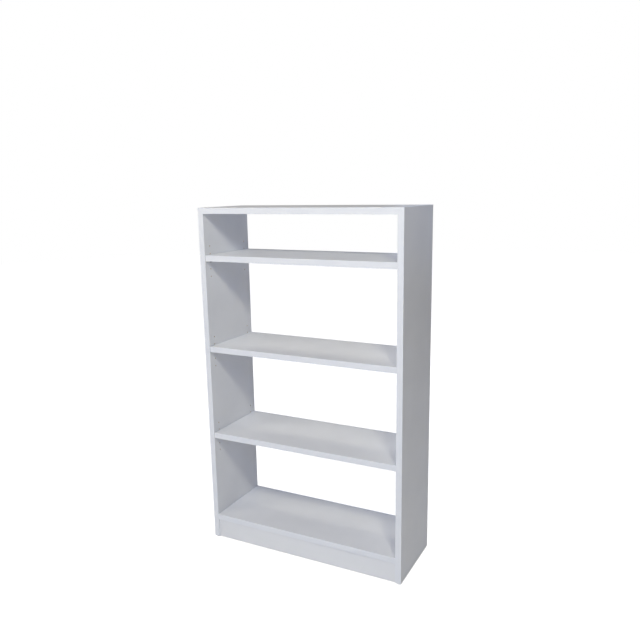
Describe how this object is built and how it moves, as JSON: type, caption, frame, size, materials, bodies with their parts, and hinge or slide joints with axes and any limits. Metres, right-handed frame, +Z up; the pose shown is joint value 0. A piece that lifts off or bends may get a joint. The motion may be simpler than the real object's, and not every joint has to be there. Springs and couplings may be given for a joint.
{
  "type": "bookcase with adjustable shelves",
  "caption": "Tall open-backed bookcase of thick white melamine board, with a fixed top, base and recessed plinth, and loose shelves on push-in supports.",
  "frame": {"origin": "on the floor, under the middle of the footprint", "axes": "+Z up, -Y towards the open front, +X to the right as seen from the front"},
  "size_m": [0.9, 0.33, 1.48],
  "materials": {
    "melamine_board": "white melamine-faced particleboard, smooth satin face",
    "edge_band": "white edge band, 1 mm, satin",
    "support_nickel": "nickel plated",
    "cam_zinc": "die-cast zinc, dull grey",
    "cam_bolt_steel": "zinc-plated steel",
    "dowel_beech": "plain fluted beech",
    "glide_nylon": "white nylon, moulded"
  },
  "bodies": {
    "carcass": {"side_panel_left": "melamine_board", "edge_band_side_left": "edge_band", "side_panel_right": "melamine_board", "edge_band_side_right": "edge_band", "top_panel": "melamine_board", "edge_band_top_front": "edge_band", "edge_band_top_back": "edge_band", "base_panel": "melamine_board", "edge_band_base_front": "edge_band", "edge_band_base_back": "edge_band", "plinth_board": "melamine_board", "cam_top_left_front": "cam_zinc", "cam_bolt_top_left_front": "cam_bolt_steel", "cam_top_left_back": "cam_zinc", "cam_bolt_top_left_back": "cam_bolt_steel", "dowel_top_left": "dowel_beech", "cam_base_left_front": "cam_zinc", "cam_bolt_base_left_front": "cam_bolt_steel", "cam_base_left_back": "cam_zinc", "cam_bolt_base_left_back": "cam_bolt_steel", "dowel_base_left": "dowel_beech", "dowel_plinth_left_lower": "dowel_beech", "dowel_plinth_left_upper": "dowel_beech", "glide_left_front": "glide_nylon", "glide_left_back": "glide_nylon", "cam_top_right_front": "cam_zinc", "cam_bolt_top_right_front": "cam_bolt_steel", "cam_top_right_back": "cam_zinc", "cam_bolt_top_right_back": "cam_bolt_steel", "dowel_top_right": "dowel_beech", "cam_base_right_front": "cam_zinc", "cam_bolt_base_right_front": "cam_bolt_steel", "cam_base_right_back": "cam_zinc", "cam_bolt_base_right_back": "cam_bolt_steel", "dowel_base_right": "dowel_beech", "dowel_plinth_right_lower": "dowel_beech", "dowel_plinth_right_upper": "dowel_beech", "glide_right_front": "glide_nylon", "glide_right_back": "glide_nylon"},
    "shelf_lower": {"shelf_lower": "melamine_board", "edge_band_shelf_lower": "edge_band"},
    "shelf_middle": {"shelf_middle": "melamine_board", "edge_band_shelf_middle": "edge_band"},
    "shelf_upper": {"shelf_upper": "melamine_board", "edge_band_shelf_upper": "edge_band"},
    "support_lower_left_front": {"support_lower_left_front": "support_nickel"},
    "support_lower_left_back": {"support_lower_left_back": "support_nickel"},
    "support_lower_right_front": {"support_lower_right_front": "support_nickel"},
    "support_lower_right_back": {"support_lower_right_back": "support_nickel"},
    "support_middle_left_front": {"support_middle_left_front": "support_nickel"},
    "support_middle_left_back": {"support_middle_left_back": "support_nickel"},
    "support_middle_right_front": {"support_middle_right_front": "support_nickel"},
    "support_middle_right_back": {"support_middle_right_back": "support_nickel"},
    "support_upper_left_front": {"support_upper_left_front": "support_nickel"},
    "support_upper_left_back": {"support_upper_left_back": "support_nickel"},
    "support_upper_right_front": {"support_upper_right_front": "support_nickel"},
    "support_upper_right_back": {"support_upper_right_back": "support_nickel"}
  },
  "joints": [
    {"name": "shelf_lower_slide", "type": "slide", "parent": "carcass", "child": "shelf_lower", "axis": [0, -1, 0], "range_m": [0, 0.34]},
    {"name": "shelf_middle_slide", "type": "slide", "parent": "carcass", "child": "shelf_middle", "axis": [0, -1, 0], "range_m": [0, 0.34]},
    {"name": "shelf_upper_slide", "type": "slide", "parent": "carcass", "child": "shelf_upper", "axis": [0, -1, 0], "range_m": [0, 0.34]},
    {"name": "support_lower_left_front_slide", "type": "slide", "parent": "carcass", "child": "support_lower_left_front", "axis": [1, 0, 0], "range_m": [0, 0.012]},
    {"name": "support_lower_left_back_slide", "type": "slide", "parent": "carcass", "child": "support_lower_left_back", "axis": [1, 0, 0], "range_m": [0, 0.012]},
    {"name": "support_lower_right_front_slide", "type": "slide", "parent": "carcass", "child": "support_lower_right_front", "axis": [-1, 0, 0], "range_m": [0, 0.012]},
    {"name": "support_lower_right_back_slide", "type": "slide", "parent": "carcass", "child": "support_lower_right_back", "axis": [-1, 0, 0], "range_m": [0, 0.012]},
    {"name": "support_middle_left_front_slide", "type": "slide", "parent": "carcass", "child": "support_middle_left_front", "axis": [1, 0, 0], "range_m": [0, 0.012]},
    {"name": "support_middle_left_back_slide", "type": "slide", "parent": "carcass", "child": "support_middle_left_back", "axis": [1, 0, 0], "range_m": [0, 0.012]},
    {"name": "support_middle_right_front_slide", "type": "slide", "parent": "carcass", "child": "support_middle_right_front", "axis": [-1, 0, 0], "range_m": [0, 0.012]},
    {"name": "support_middle_right_back_slide", "type": "slide", "parent": "carcass", "child": "support_middle_right_back", "axis": [-1, 0, 0], "range_m": [0, 0.012]},
    {"name": "support_upper_left_front_slide", "type": "slide", "parent": "carcass", "child": "support_upper_left_front", "axis": [1, 0, 0], "range_m": [0, 0.012]},
    {"name": "support_upper_left_back_slide", "type": "slide", "parent": "carcass", "child": "support_upper_left_back", "axis": [1, 0, 0], "range_m": [0, 0.012]},
    {"name": "support_upper_right_front_slide", "type": "slide", "parent": "carcass", "child": "support_upper_right_front", "axis": [-1, 0, 0], "range_m": [0, 0.012]},
    {"name": "support_upper_right_back_slide", "type": "slide", "parent": "carcass", "child": "support_upper_right_back", "axis": [-1, 0, 0], "range_m": [0, 0.012]}
  ]
}
